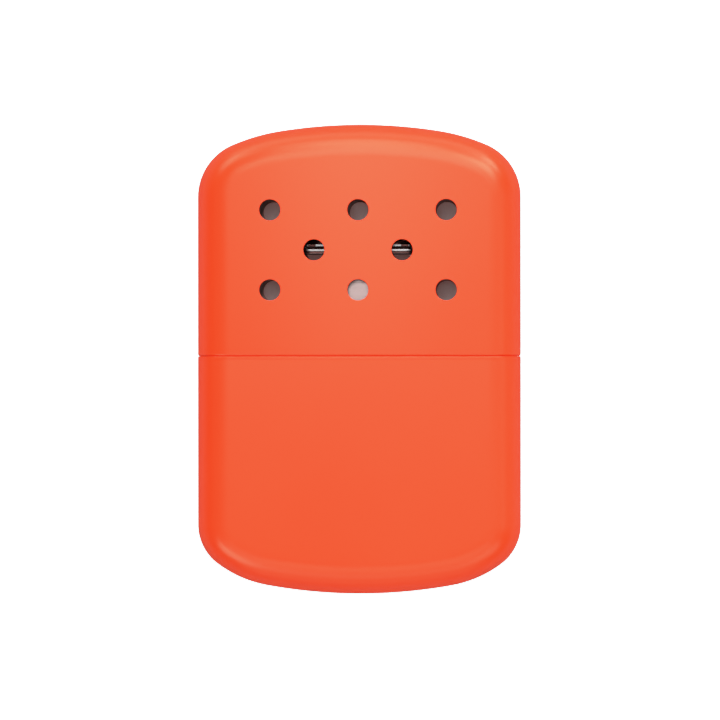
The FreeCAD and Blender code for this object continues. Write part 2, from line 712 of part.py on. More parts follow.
def make_mat_cover():
    """The upper plate: a notched rim round a raised crown with a grille of bars."""
    body = new_body("mat_cover")
    outline = level_sketch(body, "cover_outline", cover_level)
    stadium(outline, plate_width, plate_depth)
    pad_up(body, "cover_plate", outline, "Dims.plate_thickness")
    crown = level_sketch(body, "cover_crown_outline", cover_level)
    stadium(crown, crown_width, crown_depth)
    raised = pad_up(body, "cover_crown", crown, "Dims.plate_thickness + Dims.crown_height")
    crest = number(f"{cover_top} + Dims.crown_height")
    crest_edges = edges_where(raised, lambda box: flat_at(box.YMin, box.YMax, crest))
    new_feature(
        body, "Chamfer", "crown_edge", Base=(raised, crest_edges), Size="Dims.crown_edge_break",
    )
    hollow = level_sketch(body, "crown_hollow_outline", cover_level)
    stadium(
        hollow, f"({crown_width} - 2 * Dims.crown_wall)", f"({crown_depth} - 2 * Dims.crown_wall)",
    )
    pocket_up(
        body, "crown_hollow", hollow, "Dims.plate_thickness + Dims.crown_height - Dims.crown_wall",
    )
    tongue_slots(body, cover_level)
    notches = level_sketch(body, "rim_notch_outlines", cover_level)
    for side in (-1, 1):
        for face in (-1, 1):
            rectangle(notches, "Dims.notch_width", "(2 * Dims.notch_depth)", (
                f"{side} * ({plate_width} / 2 - Dims.notch_inset)", f"{face} * {plate_depth} / 2",
            ))
    pocket_up(body, "rim_notches", notches, "2 * Dims.plate_thickness")
    slot_row(body, cover_top, "2 * Dims.crown_height")
    return body


sub_parts = [
    make_tank_shell(),
    make_cap_shell(),
    make_collar_pan(),
    make_filler_neck(),
    make_neck_bridge(),
    make_wick_felt(),
    make_cotton_packing(),
    make_burner_skirt(),
    make_mat_tray(),
    make_mat_gauze(),
    make_catalyst_mat(),
    make_mat_cover(),
]
doc.recompute()

for item in doc.Objects:
    if "Invalid" in item.State or "Error" in item.State:
        raise RuntimeError(f"{item.Label} did not recompute: {item.State}")
    if item.isDerivedFrom("Sketcher::SketchObject") and not item.FullyConstrained:
        raise RuntimeError(f"{item.Label} is not fully constrained")
for sub_part in sub_parts:
    if sub_part.Shape.isNull() or not sub_part.Shape.isValid():
        raise RuntimeError(f"{sub_part.Label} has no valid shape")

os.makedirs("parts", exist_ok=True)
for sub_part in sub_parts:
    sub_part.Shape.exportStep(f"parts/{sub_part.Label}.step")
    print(sub_part.Label, len(sub_part.Shape.Solids), round(sub_part.Shape.Volume, 2))
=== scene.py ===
# A catalytic hand warmer lying on its flat back, seen from straight above in soft studio light.
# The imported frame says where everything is. The pieces made here give it its looks.
# Sizes are in millimetres and become metres inside the modelling tools.
import math

import bmesh
import bpy
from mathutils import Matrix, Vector


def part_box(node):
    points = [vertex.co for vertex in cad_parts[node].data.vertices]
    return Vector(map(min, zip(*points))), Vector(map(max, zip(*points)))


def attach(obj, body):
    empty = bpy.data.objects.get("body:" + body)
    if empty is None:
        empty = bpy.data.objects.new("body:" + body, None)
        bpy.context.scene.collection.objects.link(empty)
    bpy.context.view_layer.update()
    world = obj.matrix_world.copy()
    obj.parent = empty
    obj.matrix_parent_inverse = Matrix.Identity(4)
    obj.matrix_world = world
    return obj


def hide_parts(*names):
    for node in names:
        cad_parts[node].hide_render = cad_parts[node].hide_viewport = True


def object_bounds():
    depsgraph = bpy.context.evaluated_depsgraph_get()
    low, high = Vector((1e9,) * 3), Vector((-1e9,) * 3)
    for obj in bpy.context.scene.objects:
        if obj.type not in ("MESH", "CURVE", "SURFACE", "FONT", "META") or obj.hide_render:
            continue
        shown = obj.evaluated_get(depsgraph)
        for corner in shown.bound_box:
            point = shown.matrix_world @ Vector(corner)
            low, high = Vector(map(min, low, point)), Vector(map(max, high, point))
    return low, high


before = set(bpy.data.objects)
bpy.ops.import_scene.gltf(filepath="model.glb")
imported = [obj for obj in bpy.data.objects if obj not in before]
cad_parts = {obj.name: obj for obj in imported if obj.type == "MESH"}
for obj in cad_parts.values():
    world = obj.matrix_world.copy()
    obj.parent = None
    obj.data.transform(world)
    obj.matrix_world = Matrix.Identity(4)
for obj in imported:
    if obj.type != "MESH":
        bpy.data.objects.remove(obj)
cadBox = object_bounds()
print("frame loaded")

mm = 0.001
weldGap = 1e-6  # metres
overshoot = 1  # a punch goes this far past the sheet that it cuts
axes = {"X": (1, 0, 0), "Y": (0, 1, 0), "Z": (0, 0, 1)}


def boxOf(node):
    low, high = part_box(node)
    return low / mm, high / mm


def deselectAll():
    if bpy.context.object and bpy.context.object.mode != "OBJECT":
        bpy.ops.object.mode_set(mode="OBJECT")
    bpy.ops.object.select_all(action="DESELECT")


def makeActive(piece):
    deselectAll()
    piece.select_set(True)
    bpy.context.view_layer.objects.active = piece


def openEdit(piece):
    makeActive(piece)
    bpy.ops.object.mode_set(mode="EDIT")
    bpy.ops.mesh.select_all(action="DESELECT")


def closeEdit():
    bpy.ops.object.mode_set(mode="OBJECT")


# Selects the edges that pass a test on their two ends, in millimetres, and on the edge itself.
def pickEdges(piece, wanted):
    bpy.ops.mesh.select_mode(type="EDGE")
    bpy.ops.mesh.select_all(action="DESELECT")
    mesh = bmesh.from_edit_mesh(piece.data)
    for edge in mesh.edges:
        edge.select_set(bool(wanted(edge.verts[0].co / mm, edge.verts[1].co / mm, edge)))
    bmesh.update_edit_mesh(piece.data)


def pickFaces(piece, wanted):
    bpy.ops.mesh.select_mode(type="FACE")
    bpy.ops.mesh.select_all(action="DESELECT")
    mesh = bmesh.from_edit_mesh(piece.data)
    for face in mesh.faces:
        face.select_set(bool(wanted(face.calc_center_median() / mm, face.normal)))
    bmesh.update_edit_mesh(piece.data)


def applyModifier(piece, kind, **settings):
    makeActive(piece)
    modifier = piece.modifiers.new(kind.title(), kind)
    for setting, value in settings.items():
        setattr(modifier, setting, value)
    bpy.ops.object.modifier_apply(modifier=modifier.name)


def cutWith(piece, tool, operation="DIFFERENCE"):
    applyModifier(piece, "BOOLEAN", operation=operation, object=tool, solver="EXACT")
    bpy.data.objects.remove(tool)


def near(a, b, slack=0.002):
    return abs(a - b) < slack


# Puts a piece's place into its mesh, so that the object itself sits at the origin.
def settle(piece):
    makeActive(piece)
    bpy.ops.object.transform_apply(location=True, rotation=True, scale=True)


def pointOutwards(piece):
    openEdit(piece)
    bpy.ops.mesh.select_all(action="SELECT")
    bpy.ops.mesh.remove_doubles(threshold=weldGap)
    bpy.ops.mesh.select_all(action="SELECT")
    bpy.ops.mesh.normals_make_consistent(inside=False)
    closeEdit()


def smoothPiece(piece, degrees=35):
    makeActive(piece)
    bpy.ops.object.shade_smooth_by_angle(angle=math.radians(degrees))
    applyModifier(piece, "WEIGHTED_NORMAL", weight=80, keep_sharp=True)


# An outline is drawn like a pen stroke: one point, drawn out along lines and spun round centres.
def penDown(name, x, y, z):
    deselectAll()
    bpy.ops.mesh.primitive_plane_add(size=mm, location=(0, 0, 0))
    piece = bpy.context.object
    piece.name = piece.data.name = name
    bpy.ops.object.mode_set(mode="EDIT")
    bpy.ops.mesh.select_mode(type="VERT")
    bpy.ops.mesh.select_all(action="SELECT")
    bpy.ops.mesh.merge(type="CENTER")
    bpy.ops.mesh.select_all(action="SELECT")
    bpy.ops.transform.translate(value=(x * mm, y * mm, z * mm))
    return piece


def penLine(dx=0, dy=0, dz=0):
    bpy.ops.mesh.extrude_region_move(TRANSFORM_OT_translate={"value": (dx * mm, dy * mm, dz * mm)})


# Turns by the right-hand rule. The spin operator itself turns the other way.
def penTurn(centre, degrees, steps, axis="Z"):
    place = [value * mm for value in centre]
    bpy.ops.mesh.spin(steps=steps, angle=-math.radians(degrees), center=place, axis=axes[axis])


def joinEnds():
    bpy.ops.mesh.select_all(action="SELECT")
    bpy.ops.mesh.remove_doubles(threshold=weldGap)
    bpy.ops.mesh.select_all(action="SELECT")


# Joins the two loose ends of a stroke and selects all of it.
def closeLoop(piece):
    bpy.ops.mesh.select_all(action="DESELECT")
    mesh = bmesh.from_edit_mesh(piece.data)
    for vert in mesh.verts:
        vert.select_set(len(vert.link_edges) == 1)
    bmesh.update_edit_mesh(piece.data)
    bpy.ops.mesh.edge_face_add()
    bpy.ops.mesh.select_all(action="SELECT")


# Carries the selected section, drawn at the front of the right end, once round a rounded rectangle
# whose corner centres lie reachX and reachZ from the middle. With no reachZ that is a stadium.
def sweepRound(reachX, reachZ, middle, steps):
    legs = (
        (reachX, reachZ, (0, 0, -2 * reachZ)),
        (reachX, -reachZ, (-2 * reachX, 0, 0)),
        (-reachX, -reachZ, (0, 0, 2 * reachZ)),
        (-reachX, reachZ, (2 * reachX, 0, 0)),
    )
    for x, z, leg in legs:
        penTurn((x, 0, middle + z), 90, steps, "Y")
        if any(leg):
            penLine(*leg)
    joinEnds()


# A stadium or rounded rectangle standing along Y between two levels.
def roundPrism(name, width, depth, bottom, top, middle=7.0, corner=None, steps=14):
    corner = corner or depth / 2
    reachX, reachZ = width / 2 - corner, depth / 2 - corner
    piece = penDown(name, reachX, bottom, middle + depth / 2)
    sweepRound(reachX, reachZ, middle, steps)
    bpy.ops.mesh.edge_face_add()
    penLine(0, top - bottom, 0)
    closeEdit()
    pointOutwards(piece)
    return piece


def block(name, low, high):
    deselectAll()
    centre = [(a + b) / 2 * mm for a, b in zip(low, high)]
    bpy.ops.mesh.primitive_cube_add(size=1, location=centre)
    piece = bpy.context.object
    piece.name = name
    piece.scale = [(b - a) * mm for a, b in zip(low, high)]
    settle(piece)
    return piece


def roundEdges(piece, wanted, width, steps=4, profile=0.5):
    openEdit(piece)
    pickEdges(piece, wanted)
    bpy.ops.mesh.bevel(offset=width * mm, segments=steps, profile=profile, affect="EDGES")
    closeEdit()


def joinPieces(pieces):
    makeActive(pieces[0])
    for piece in pieces:
        piece.select_set(True)
    bpy.ops.object.join()
    return pieces[0]


def place(piece, body, node, slot):
    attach(piece, body)
    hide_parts(node)


def dress(piece, material, body, node, slot):
    piece.data.materials.clear()
    piece.data.materials.append(material)
    place(piece, body, node, slot)


# Shader tools.
def addNode(tree, kind, **settings):
    node = tree.nodes.new(kind)
    for setting, value in settings.items():
        setattr(node, setting, value)
    return node


def spread(tree, source, fromLow, fromHigh, toLow=0.0, toHigh=1.0):
    node = addNode(tree, "ShaderNodeMapRange", interpolation_type="SMOOTHSTEP")
    tree.links.new(source, node.inputs["Value"])
    limits = {"From Min": fromLow, "From Max": fromHigh, "To Min": toLow, "To Max": toHigh}
    for name, value in limits.items():
        node.inputs[name].default_value = value
    return node.outputs["Result"]


# A socket takes another node's output or a plain value.
def feed(tree, socket, value):
    if hasattr(value, "is_linked"):
        tree.links.new(value, socket)
    else:
        socket.default_value = value


def mixColours(tree, amount, first, second):
    node = addNode(tree, "ShaderNodeMix", data_type="RGBA")
    sockets = {socket.name: socket for socket in node.inputs if socket.enabled}
    for name, value in (("Factor", amount), ("A", first), ("B", second)):
        feed(tree, sockets[name], value)
    return next(socket for socket in node.outputs if socket.enabled)


def calculate(tree, operation, first, second=0.0):
    node = addNode(tree, "ShaderNodeMath", operation=operation)
    feed(tree, node.inputs[0], first)
    feed(tree, node.inputs[1], second)
    return node.outputs[0]


# The place on the object in millimetres, as separate X, Y and Z.
def objectPlace(tree):
    coords = addNode(tree, "ShaderNodeTexCoord")
    inMm = addNode(tree, "ShaderNodeVectorMath", operation="SCALE")
    inMm.inputs["Scale"].default_value = 1 / mm
    parts = addNode(tree, "ShaderNodeSeparateXYZ")
    tree.links.new(coords.outputs["Object"], inMm.inputs[0])
    tree.links.new(inMm.outputs["Vector"], parts.inputs["Vector"])
    return parts.outputs


def newMaterial(name, **values):
    material = bpy.data.materials.new(name)
    material.use_nodes = True
    shader = material.node_tree.nodes["Principled BSDF"]
    for socket, value in values.items():
        shader.inputs[socket.replace("_", " ")].default_value = value
    return material, material.node_tree, shader


def addBump(tree, shader, height, depth):
    bump = addNode(tree, "ShaderNodeBump")
    bump.inputs["Distance"].default_value = depth * mm
    tree.links.new(height, bump.inputs["Height"])
    tree.links.new(bump.outputs["Normal"], shader.inputs["Normal"])


# Fine grain for bump, and slow patches for colour and gloss.
def makeGrainGroup():
    group = bpy.data.node_groups.new("fineGrain", "ShaderNodeTree")
    for name, size in (("Grain Size", 0.5), ("Patch Size", 20.0)):
        group.interface.new_socket(name, in_out="INPUT", socket_type="NodeSocketFloat").default_value = size
    for name in ("Grain", "Patches"):
        group.interface.new_socket(name, in_out="OUTPUT", socket_type="NodeSocketFloat")
    given = addNode(group, "NodeGroupInput")
    result = addNode(group, "NodeGroupOutput")
    coords = addNode(group, "ShaderNodeTexCoord")
    for name, output, detail in (("Grain Size", "Grain", 2.0), ("Patch Size", "Patches", 3.0)):
        perMetre = addNode(group, "ShaderNodeMath", operation="DIVIDE")
        perMetre.inputs[0].default_value = 1 / mm
        noise = addNode(group, "ShaderNodeTexNoise")
        noise.inputs["Detail"].default_value = detail
        group.links.new(given.outputs[name], perMetre.inputs[1])
        group.links.new(coords.outputs["Object"], noise.inputs["Vector"])
        group.links.new(perMetre.outputs[0], noise.inputs["Scale"])
        group.links.new(noise.outputs["Fac"], result.inputs[output])
    return group


# Fine parallel lines that rolled or drawn sheet keeps, drawn out along one axis.
def makeDrawLinesGroup():
    group = bpy.data.node_groups.new("drawLines", "ShaderNodeTree")
    socket = group.interface.new_socket("Stretch", in_out="INPUT", socket_type="NodeSocketVector")
    socket.default_value = (1, 1, 1)
    group.interface.new_socket("Lines", in_out="OUTPUT", socket_type="NodeSocketFloat")
    given = addNode(group, "NodeGroupInput")
    result = addNode(group, "NodeGroupOutput")
    coords = addNode(group, "ShaderNodeTexCoord")
    stretch = addNode(group, "ShaderNodeVectorMath", operation="MULTIPLY")
    noise = addNode(group, "ShaderNodeTexNoise")
    noise.inputs["Scale"].default_value = 1 / mm
    noise.inputs["Detail"].default_value = 4.0
    group.links.new(coords.outputs["Object"], stretch.inputs[0])
    group.links.new(given.outputs["Stretch"], stretch.inputs[1])
    group.links.new(stretch.outputs["Vector"], noise.inputs["Vector"])
    group.links.new(noise.outputs["Fac"], result.inputs["Lines"])
    return group


# Where the burner head gets painted shade: one above a level and within a reach of the object's middle
# plane, in millimetres, and zero elsewhere.
# The change from one to the other takes 0.2 mm.
def makeHeadShadeZoneGroup():
    group = bpy.data.node_groups.new("headShadeZone", "ShaderNodeTree")
    for name, value in (("Level", 22.0), ("Reach", 4.5)):
        group.interface.new_socket(name, in_out="INPUT", socket_type="NodeSocketFloat").default_value = value
    group.interface.new_socket("Zone", in_out="OUTPUT", socket_type="NodeSocketFloat")
    given = addNode(group, "NodeGroupInput")
    result = addNode(group, "NodeGroupOutput")
    place = objectPlace(group)
    middle = (cadBox[0].z + cadBox[1].z) / 2 / mm
    above = calculate(group, "SUBTRACT", place["Y"], given.outputs["Level"])
    away = calculate(group, "ABSOLUTE", calculate(group, "SUBTRACT", place["Z"], middle))
    within = calculate(group, "SUBTRACT", given.outputs["Reach"], away)
    zone = spread(group, calculate(group, "MINIMUM", above, within), -0.1, 0.1)
    group.links.new(zone, result.inputs["Zone"])
    return group


# Height of a face that bulges evenly from its left and right edges to its middle.
def makeCrownGroup():
    group = bpy.data.node_groups.new("faceCrown", "ShaderNodeTree")
    for name, value in (("Rise", 0.8), ("Half Width", 30.0), ("From Level", 0.0)):
        group.interface.new_socket(name, in_out="INPUT", socket_type="NodeSocketFloat").default_value = value
    group.interface.new_socket("Height", in_out="OUTPUT", socket_type="NodeSocketFloat")
    given = addNode(group, "NodeGroupInput")
    result = addNode(group, "NodeGroupOutput")
    place = objectPlace(group)
    share = calculate(group, "DIVIDE", place["X"], given.outputs["Half Width"])
    drop = calculate(group, "MULTIPLY", share, share)
    onPart = calculate(group, "GREATER_THAN", place["Y"], given.outputs["From Level"])
    rise = calculate(group, "MULTIPLY", given.outputs["Rise"], onPart)
    height = calculate(group, "MULTIPLY", rise, calculate(group, "SUBTRACT", 1.0, drop))
    group.links.new(height, result.inputs["Height"])
    return group


fineGrain = makeGrainGroup()
drawLines = makeDrawLinesGroup()
headShadeZone = makeHeadShadeZoneGroup()
faceCrown = makeCrownGroup()


def useGrain(tree, grainSize, patchSize):
    node = addNode(tree, "ShaderNodeGroup", node_tree=fineGrain)
    node.inputs["Grain Size"].default_value = grainSize
    node.inputs["Patch Size"].default_value = patchSize
    return node


paintLook = {
    "colour": (0.86, 0.050, 0.011, 1),
    "paler": (0.87, 0.053, 0.012, 1),
    "sheenTint": (1.0, 1.0, 0.66, 1),
    "roughness": (0.277, 0.297),
    "peelSize": 0.8,
    "peelDepth": 0.0025,
    "patchSize": 30.0,
    "patchRange": (0.2, 0.8),
    "capCrown": 0.8,  # the drawn cap bulges this much, and the tank is flat
}


def makePaint():
    material, tree, shader = newMaterial("satinPaint", Specular_Tint=paintLook["sheenTint"])
    grain = useGrain(tree, paintLook["peelSize"], paintLook["patchSize"])
    patches = spread(tree, grain.outputs["Patches"], *paintLook["patchRange"])
    colour = mixColours(tree, patches, paintLook["colour"], paintLook["paler"])
    tree.links.new(colour, shader.inputs["Base Color"])
    gloss = spread(tree, grain.outputs["Patches"], *paintLook["patchRange"], *paintLook["roughness"])
    tree.links.new(gloss, shader.inputs["Roughness"])
    crown = addNode(tree, "ShaderNodeGroup", node_tree=faceCrown)
    crown.inputs["Rise"].default_value = paintLook["capCrown"]
    peel = calculate(tree, "MULTIPLY", grain.outputs["Grain"], paintLook["peelDepth"])
    addBump(tree, shader, calculate(tree, "ADD", peel, crown.outputs["Height"]), 1)
    return material


# Painted shade on the burner head: a dark reddish brown where it lies in shade under the cap
headShadeLook = {
    "paintedShade": (0.085, 0.037, 0.033, 1),
    "level": 22.0,
    "plateReach": 4.72,  # the plates' rims lie outside this and stay bright
    "matReach": 2.95,  # the mat's crown lies inside this and stays pale, and its clamped edge gets the painted shade
    "crownTop": (24.8, 25.0),  # over these levels the painted shade fades to the share below
    "topShare": 0.1,
}


def useHeadShadeZone(tree, reach):
    node = addNode(tree, "ShaderNodeGroup", node_tree=headShadeZone)
    node.inputs["Level"].default_value = headShadeLook["level"]
    node.inputs["Reach"].default_value = reach
    return node.outputs["Zone"]


plateLook = {
    "grainSize": 0.3,
    "patchSize": 5.0,
    "patchRange": (0.35, 0.65),
    "darker": 0.86,
    "stretch": (0.08, 3, 3),  # the lines run along X
    "lineRange": (0.3, 0.7),
    "lineDepth": 0.002,
    "smoother": 0.06,
    "rougher": 0.08,
}


def makePlate(name, colour, roughness, withPaintedShade=False):
    material, tree, shader = newMaterial(name, Metallic=1.0)
    grain = useGrain(tree, plateLook["grainSize"], plateLook["patchSize"])
    lines = addNode(tree, "ShaderNodeGroup", node_tree=drawLines)
    lines.inputs["Stretch"].default_value = plateLook["stretch"]
    darker = tuple(plateLook["darker"] * part for part in colour[:3]) + (1,)
    patches = spread(tree, grain.outputs["Patches"], *plateLook["patchRange"])
    metal = mixColours(tree, patches, colour, darker)
    # Painted shade over the burner head, fading on top of the crown
    if withPaintedShade:
        zone = useHeadShadeZone(tree, headShadeLook["plateReach"])
        share = spread(tree, objectPlace(tree)["Y"], *headShadeLook["crownTop"], 1.0, headShadeLook["topShare"])
        metal = mixColours(tree, calculate(tree, "MULTIPLY", zone, share), metal, headShadeLook["paintedShade"])
    tree.links.new(metal, shader.inputs["Base Color"])
    glossRange = roughness - plateLook["smoother"], roughness + plateLook["rougher"]
    gloss = spread(tree, lines.outputs["Lines"], *plateLook["lineRange"], *glossRange)
    tree.links.new(gloss, shader.inputs["Roughness"])
    addBump(tree, shader, lines.outputs["Lines"], plateLook["lineDepth"])
    return material


fibreLook = {"roughness": 0.95, "specular": 0.2, "patchesTo": 6, "darker": 0.72, "threadRange": (0.35, 0.6)}


def makeFibre(name, colour, grainSize, depth, withPaintedShade=False):
    material, tree, shader = newMaterial(
        name, Roughness=fibreLook["roughness"], Specular_IOR_Level=fibreLook["specular"],
    )
    grain = useGrain(tree, grainSize, grainSize * fibreLook["patchesTo"])
    darker = tuple(fibreLook["darker"] * part for part in colour[:3]) + (1,)
    threads = spread(tree, grain.outputs["Grain"], *fibreLook["threadRange"])
    fibres = mixColours(tree, threads, darker, colour)
    # Painted shade on the mat's clamped edge; its crown stays pale
    if withPaintedShade:
        fibres = mixColours(tree, useHeadShadeZone(tree, headShadeLook["matReach"]), headShadeLook["paintedShade"], fibres)
    tree.links.new(fibres, shader.inputs["Base Color"])
    addBump(tree, shader, grain.outputs["Grain"], depth)
    return material


# Plates have a colour and a roughness. Fibres have a colour, a grain size and a depth.
orangePaint = makePaint()
# The inside steel's pinkish tint is painted orange bounce light off the paint
insideSteelBounceTint = makePlate("insideSteelBounceTint", (0.60, 0.42, 0.40, 1), 0.5)
brightPlate = makePlate("brightPlate", (0.385, 0.378, 0.37, 1), 0.40)
# The burner's skirt, plates, gauze and mat get painted shade over the head
skirtPlate = makePlate("skirtPlate", (0.37, 0.285, 0.276, 1), 0.34, withPaintedShade=True)
trayPlate = makePlate("trayPlate", (0.38, 0.37, 0.37, 1), 0.34, withPaintedShade=True)
coverPlate = makePlate("coverPlate", (0.26, 0.253, 0.252, 1), 0.36, withPaintedShade=True)
gauzeSteel = makePlate("gauzeSteel", (0.40, 0.38, 0.37, 1), 0.4, withPaintedShade=True)
woolFelt = makeFibre("woolFelt", (0.80, 0.76, 0.68, 1), 0.35, 0.10)
looseCotton = makeFibre("looseCotton", (0.90, 0.89, 0.86, 1), 0.8, 0.3)
glassFibre = makeFibre("glassFibre", (0.60, 0.58, 0.55, 1), 0.25, 0.10, withPaintedShade=True)
print("finishes ready")


shellForm = {
    "wall": 0.6,
    "edgeRound": 6.9,
    "edgeProfile": 0.5555,  # rounds like a 6 mm edge, and runs out more gently into the flat faces
    "edgeSteps": 16,
    "outlineSteps": {"corner": 26, "shoulder": 9, "crown": 20},
    "burrRound": 0.06,
    "lipSteps": (5, 2),  # on the painted and on the bare side
    "lipReach": 0.095,  # each lip comes this much nearer to the other, so that the seam closes
    "tank": {"crown": 108.0, "shoulder": 24.6, "corner": 10.2, "cornerTurn": 53.2, "lipRound": 0.22},
    "cap": {"crown": 105.0, "shoulder": 41.4, "corner": 11.85, "cornerTurn": 66.6, "lipRound": 0.5},
}


# The shell's outline from one end of its mouth to the other, over corner, shoulder and crown.
# Up is +1 for the cap, and -1 for the tank, which is a cap turned upside down.
def shellOutline(name, side, mouth, crest, form, z=0):
    up = 1 if crest > mouth else -1
    crown, shoulder, corner = form["crown"], form["shoulder"], form["corner"]
    cornerTurn = math.radians(form["cornerTurn"])
    crownStart = math.acos(
        (side - corner - (shoulder - corner) * math.cos(cornerTurn)) / (crown - shoulder)
    )
    crownCentre = Vector((0, crest - up * crown, 0))

    def towards(hand, angle):
        return Vector((hand * math.cos(angle), up * math.sin(angle), 0))

    shoulders, corners = {}, {}
    for hand in (1, -1):
        shoulders[hand] = crownCentre + towards(hand, crownStart) * (crown - shoulder)
        corners[hand] = shoulders[hand] + towards(hand, cornerTurn) * (shoulder - corner)
    straight = corners[1].y - mouth
    shoulderTurn = math.degrees(crownStart - cornerTurn)
    crownTurn = math.degrees(math.pi - 2 * crownStart)
    steps = shellForm["outlineSteps"]
    piece = penDown(name, side, mouth, z)
    penLine(0, straight)
    penTurn(corners[1], up * form["cornerTurn"], steps["corner"])
    penTurn(shoulders[1], up * shoulderTurn, steps["shoulder"])
    penTurn(crownCentre, up * crownTurn, steps["crown"])
    penTurn(shoulders[-1], up * shoulderTurn, steps["shoulder"])
    penTurn(corners[-1], up * form["cornerTurn"], steps["corner"])
    penLine(0, -straight)
    joinEnds()
    bpy.ops.mesh.edge_face_add()
    return piece


# A thin drawn shell: slab, rounded front and back edges, open mouth, wall and eased lip.
def drawnShell(name, node, form):
    low, high = boxOf(node)
    mouth, crest = sorted((low.y, high.y), key=abs)
    mouth -= math.copysign(shellForm["lipReach"], crest)
    piece = shellOutline(name, high.x, mouth, crest, form)
    penLine(0, 0, high.z - low.z)
    closeEdit()
    pointOutwards(piece)
    roundEdges(
        piece, lambda a, b, edge: near(a.z, b.z) and not (near(a.y, mouth) and near(b.y, mouth)),
        shellForm["edgeRound"], shellForm["edgeSteps"], shellForm["edgeProfile"],
    )
    openEdit(piece)
    pickFaces(piece, lambda centre, normal: near(centre.y, mouth) and abs(normal.y) > 0.9)
    bpy.ops.mesh.delete(type="ONLY_FACE")
    closeEdit()
    piece.data.materials.append(orangePaint)
    piece.data.materials.append(insideSteelBounceTint)
    applyModifier(
        piece, "SOLIDIFY", thickness=shellForm["wall"] * mm, offset=-1, use_even_offset=True,
        material_offset=1, material_offset_rim=0,
    )

    # The painted side of the lip is well rounded, and the bare inner side only has its burr taken off.
    def onLip(a, b, edge, painted):
        if not (near(a.y, mouth) and near(b.y, mouth)):
            return False
        rimFaces = sum(abs(face.normal.y) > 0.9 for face in edge.link_faces)
        bareFaces = sum(face.material_index for face in edge.link_faces)
        return rimFaces == 1 and (bareFaces == 0) == painted

    painted, bare = shellForm["lipSteps"]
    roundEdges(piece, lambda a, b, edge: onLip(a, b, edge, True), form["lipRound"], painted)
    roundEdges(piece, lambda a, b, edge: onLip(a, b, edge, False), shellForm["burrRound"], bare)
    return piece


ventForm = {
    "radius": 2.1,
    "wear": 0.09,  # the looks are this much wider
    "pitch": 18.3,
    "rowPitch": 8.3,
    "firstRow": 13.65,
    "rows": (3, 2, 3),
    "sides": 72,
    "rimRound": 0.12,
    "rimSteps": 3,
    "rimEdge": 0.5,  # a longer edge between two rims runs across the face and stays sharp
}


# Cuts the vents through front and back, then rounds their outer rims.
def punchVents(piece):
    low, high = boxOf("cap_shell")
    radius = ventForm["radius"] + ventForm["wear"]
    centres, punches = [], []
    for row, columns in enumerate(ventForm["rows"]):
        for column in range(columns):
            across = (column - (columns - 1) / 2) * ventForm["pitch"]
            centres.append((across, low.y + ventForm["firstRow"] + row * ventForm["rowPitch"]))
    for x, y in centres:
        deselectAll()
        bpy.ops.mesh.primitive_cylinder_add(
            vertices=ventForm["sides"], radius=radius * mm, depth=2 * (high.z - low.z) * mm,
            location=(x * mm, y * mm, (low.z + high.z) / 2 * mm),
        )
        punches.append(bpy.context.object)
    punch = joinPieces(punches)
    settle(punch)
    cutWith(piece, punch)

    def onRim(point):
        outside = near(point.z, low.z, 0.01) or near(point.z, high.z, 0.01)
        return outside and any(near(math.hypot(point.x - x, point.y - y), radius, 0.02) for x, y in centres)

    roundEdges(
        piece, lambda a, b, edge: onRim(a) and onRim(b) and (a - b).length < ventForm["rimEdge"],
        ventForm["rimRound"], ventForm["rimSteps"],
    )


def makeTankShell():
    piece = drawnShell("tankShell", "tank_shell", shellForm["tank"])
    smoothPiece(piece)
    place(piece, "tank", "tank_shell", "shell_paint")


def makeCapShell():
    piece = drawnShell("capShell", "cap_shell", shellForm["cap"])
    punchVents(piece)
    smoothPiece(piece)
    place(piece, "cap", "cap_shell", "shell_paint")


makeTankShell()
makeCapShell()
print("shells drawn")


panForm = {
    "wall": 0.5,
    "corner": 5.2,
    "edgeRound": 1.2,
    "edgeSteps": 8,
    "cornerSteps": 12,
    "neckHole": (27.1, 7.5),
    "dimpleX": 21.0,
    "dimpleY": 5.1,
    "dimpleReach": 2.08,
    "dimpleRise": 0.15,
    "dimpleHalf": 0.3,
}


# An inverted drawn pan: rounded top edge, a hole for the neck and four dimples that grip the cap.
def makeCollarPan():
    low, high = boxOf("collar_pan")
    middle = (low.z + high.z) / 2
    halfDepth = (high.z - low.z) / 2 - panForm["dimpleRise"]
    reachX, reachZ = high.x - panForm["corner"], halfDepth - panForm["corner"]
    edgeRound = panForm["edgeRound"]
    piece = penDown("collarPan", reachX, low.y, middle + halfDepth)
    penLine(0, high.y - low.y - edgeRound)
    penTurn(
        (reachX, high.y - edgeRound, middle + halfDepth - edgeRound), -90, panForm["edgeSteps"], "X",
    )
    bpy.ops.mesh.select_all(action="SELECT")
    sweepRound(reachX, reachZ, middle, panForm["cornerSteps"])
    pickEdges(piece, lambda a, b, edge: near(a.y, high.y) and near(b.y, high.y) and edge.is_boundary)
    bpy.ops.mesh.edge_face_add()
    closeEdit()
    pointOutwards(piece)
    applyModifier(piece, "SOLIDIFY", thickness=panForm["wall"] * mm, offset=-1, use_even_offset=True)
    width, holeDepth = panForm["neckHole"]
    cutWith(piece, roundPrism(
        "neckHole", width, holeDepth, high.y - 2 * overshoot, high.y + 2 * overshoot, middle,
    ))
    reach = panForm["dimpleReach"] * mm
    for x in (-panForm["dimpleX"], panForm["dimpleX"]):
        for face in (-1, 1):
            z = middle + face * (halfDepth - panForm["dimpleRise"])
            deselectAll()
            bpy.ops.mesh.primitive_uv_sphere_add(
                segments=40, ring_count=24, radius=1, location=(x * mm, panForm["dimpleY"] * mm, z * mm),
            )
            dimple = bpy.context.object
            dimple.scale = (reach, reach, panForm["dimpleHalf"] * mm)
            settle(dimple)
            cutWith(piece, dimple, "UNION")
    smoothPiece(piece)
    dress(piece, brightPlate, "tank", "collar_pan", "plated_steel")


neckForm = {
    "tube": (27.0, 7.4),
    "wall": 0.5,
    "flange": 1.2,
    "flangeThickness": 0.5,
    "rimSteps": 10,
    "endSteps": 16,
}


